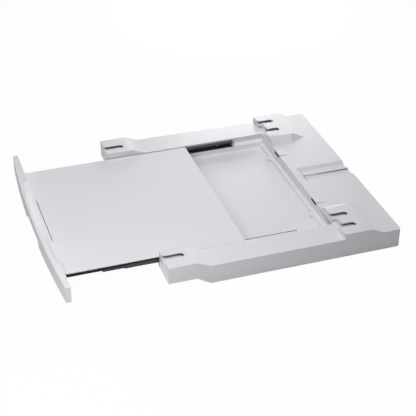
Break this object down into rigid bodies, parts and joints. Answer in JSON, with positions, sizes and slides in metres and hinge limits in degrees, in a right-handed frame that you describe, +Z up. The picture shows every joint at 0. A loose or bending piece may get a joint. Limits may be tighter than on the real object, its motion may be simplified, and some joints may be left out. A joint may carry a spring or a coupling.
{
  "type": "washer dryer stacking kit",
  "caption": "White stacking frame between a washer and a dryer, with foot slots, a hose channel and a laundry shelf that pulls out on ball runners.",
  "frame": {"origin": "under the middle of the whole piece with the shelf pulled out, on the washer's top", "axes": "+X to the right seen from the front, +Y to the back, +Z up"},
  "size_m": [0.6, 0.8016, 0.06],
  "materials": {
    "white_moulding": "fine spark-eroded grain",
    "white_shelf": "smooth, slightly satin",
    "black_steel": "black coated cold-rolled steel",
    "ball_steel": "polished",
    "zinc_steel": "zinc plated",
    "black_plastic": "matte",
    "black_rubber": "matte"
  },
  "bodies": {
    "frame": {"frame_moulding": "white_moulding", "left_outer_rail": "black_steel", "right_outer_rail": "black_steel", "left_rail_screws": "zinc_steel", "right_rail_screws": "zinc_steel", "left_rail_buffer": "black_rubber", "right_rail_buffer": "black_rubber", "shelf_buffers": "black_rubber", "ledge_end_plugs": "black_plastic", "grip_plugs": "black_rubber"},
    "shelf": {"shelf_panel": "white_shelf", "fascia": "white_shelf", "fascia_screws": "zinc_steel", "left_inner_rail": "black_steel", "right_inner_rail": "black_steel", "left_beam_screws": "zinc_steel", "right_beam_screws": "zinc_steel"},
    "left_middle": {"left_middle_rail": "black_steel"},
    "left_inner_cage": {"left_inner_ball_cage": "black_plastic", "left_inner_balls": "ball_steel", "left_cage_end_block": "black_plastic"},
    "left_outer_cage": {"left_outer_ball_cage": "black_plastic", "left_outer_balls": "ball_steel"},
    "right_middle": {"right_middle_rail": "black_steel"},
    "right_inner_cage": {"right_inner_ball_cage": "black_plastic", "right_inner_balls": "ball_steel", "right_cage_end_block": "black_plastic"},
    "right_outer_cage": {"right_outer_ball_cage": "black_plastic", "right_outer_balls": "ball_steel"}
  },
  "joints": [
    {"name": "shelf_slide", "type": "slide", "parent": "frame", "child": "shelf", "axis": [0, 1, 0], "range_m": [0, 0.212]},
    {"name": "left_middle_slide", "type": "slide", "parent": "frame", "child": "left_middle", "axis": [0, 1, 0], "range_m": [0, 0.106]},
    {"name": "left_inner_cage_slide", "type": "slide", "parent": "frame", "child": "left_inner_cage", "axis": [0, 1, 0], "range_m": [0, 0.159]},
    {"name": "left_outer_cage_slide", "type": "slide", "parent": "frame", "child": "left_outer_cage", "axis": [0, 1, 0], "range_m": [0, 0.053]},
    {"name": "right_middle_slide", "type": "slide", "parent": "frame", "child": "right_middle", "axis": [0, 1, 0], "range_m": [0, 0.106]},
    {"name": "right_inner_cage_slide", "type": "slide", "parent": "frame", "child": "right_inner_cage", "axis": [0, 1, 0], "range_m": [0, 0.159]},
    {"name": "right_outer_cage_slide", "type": "slide", "parent": "frame", "child": "right_outer_cage", "axis": [0, 1, 0], "range_m": [0, 0.053]}
  ],
  "couplings": [
    {"joint": "left_middle_slide", "follows": "shelf_slide", "ratio": 0.5},
    {"joint": "left_inner_cage_slide", "follows": "shelf_slide", "ratio": 0.75},
    {"joint": "left_outer_cage_slide", "follows": "shelf_slide", "ratio": 0.25},
    {"joint": "right_middle_slide", "follows": "shelf_slide", "ratio": 0.5},
    {"joint": "right_inner_cage_slide", "follows": "shelf_slide", "ratio": 0.75},
    {"joint": "right_outer_cage_slide", "follows": "shelf_slide", "ratio": 0.25}
  ]
}
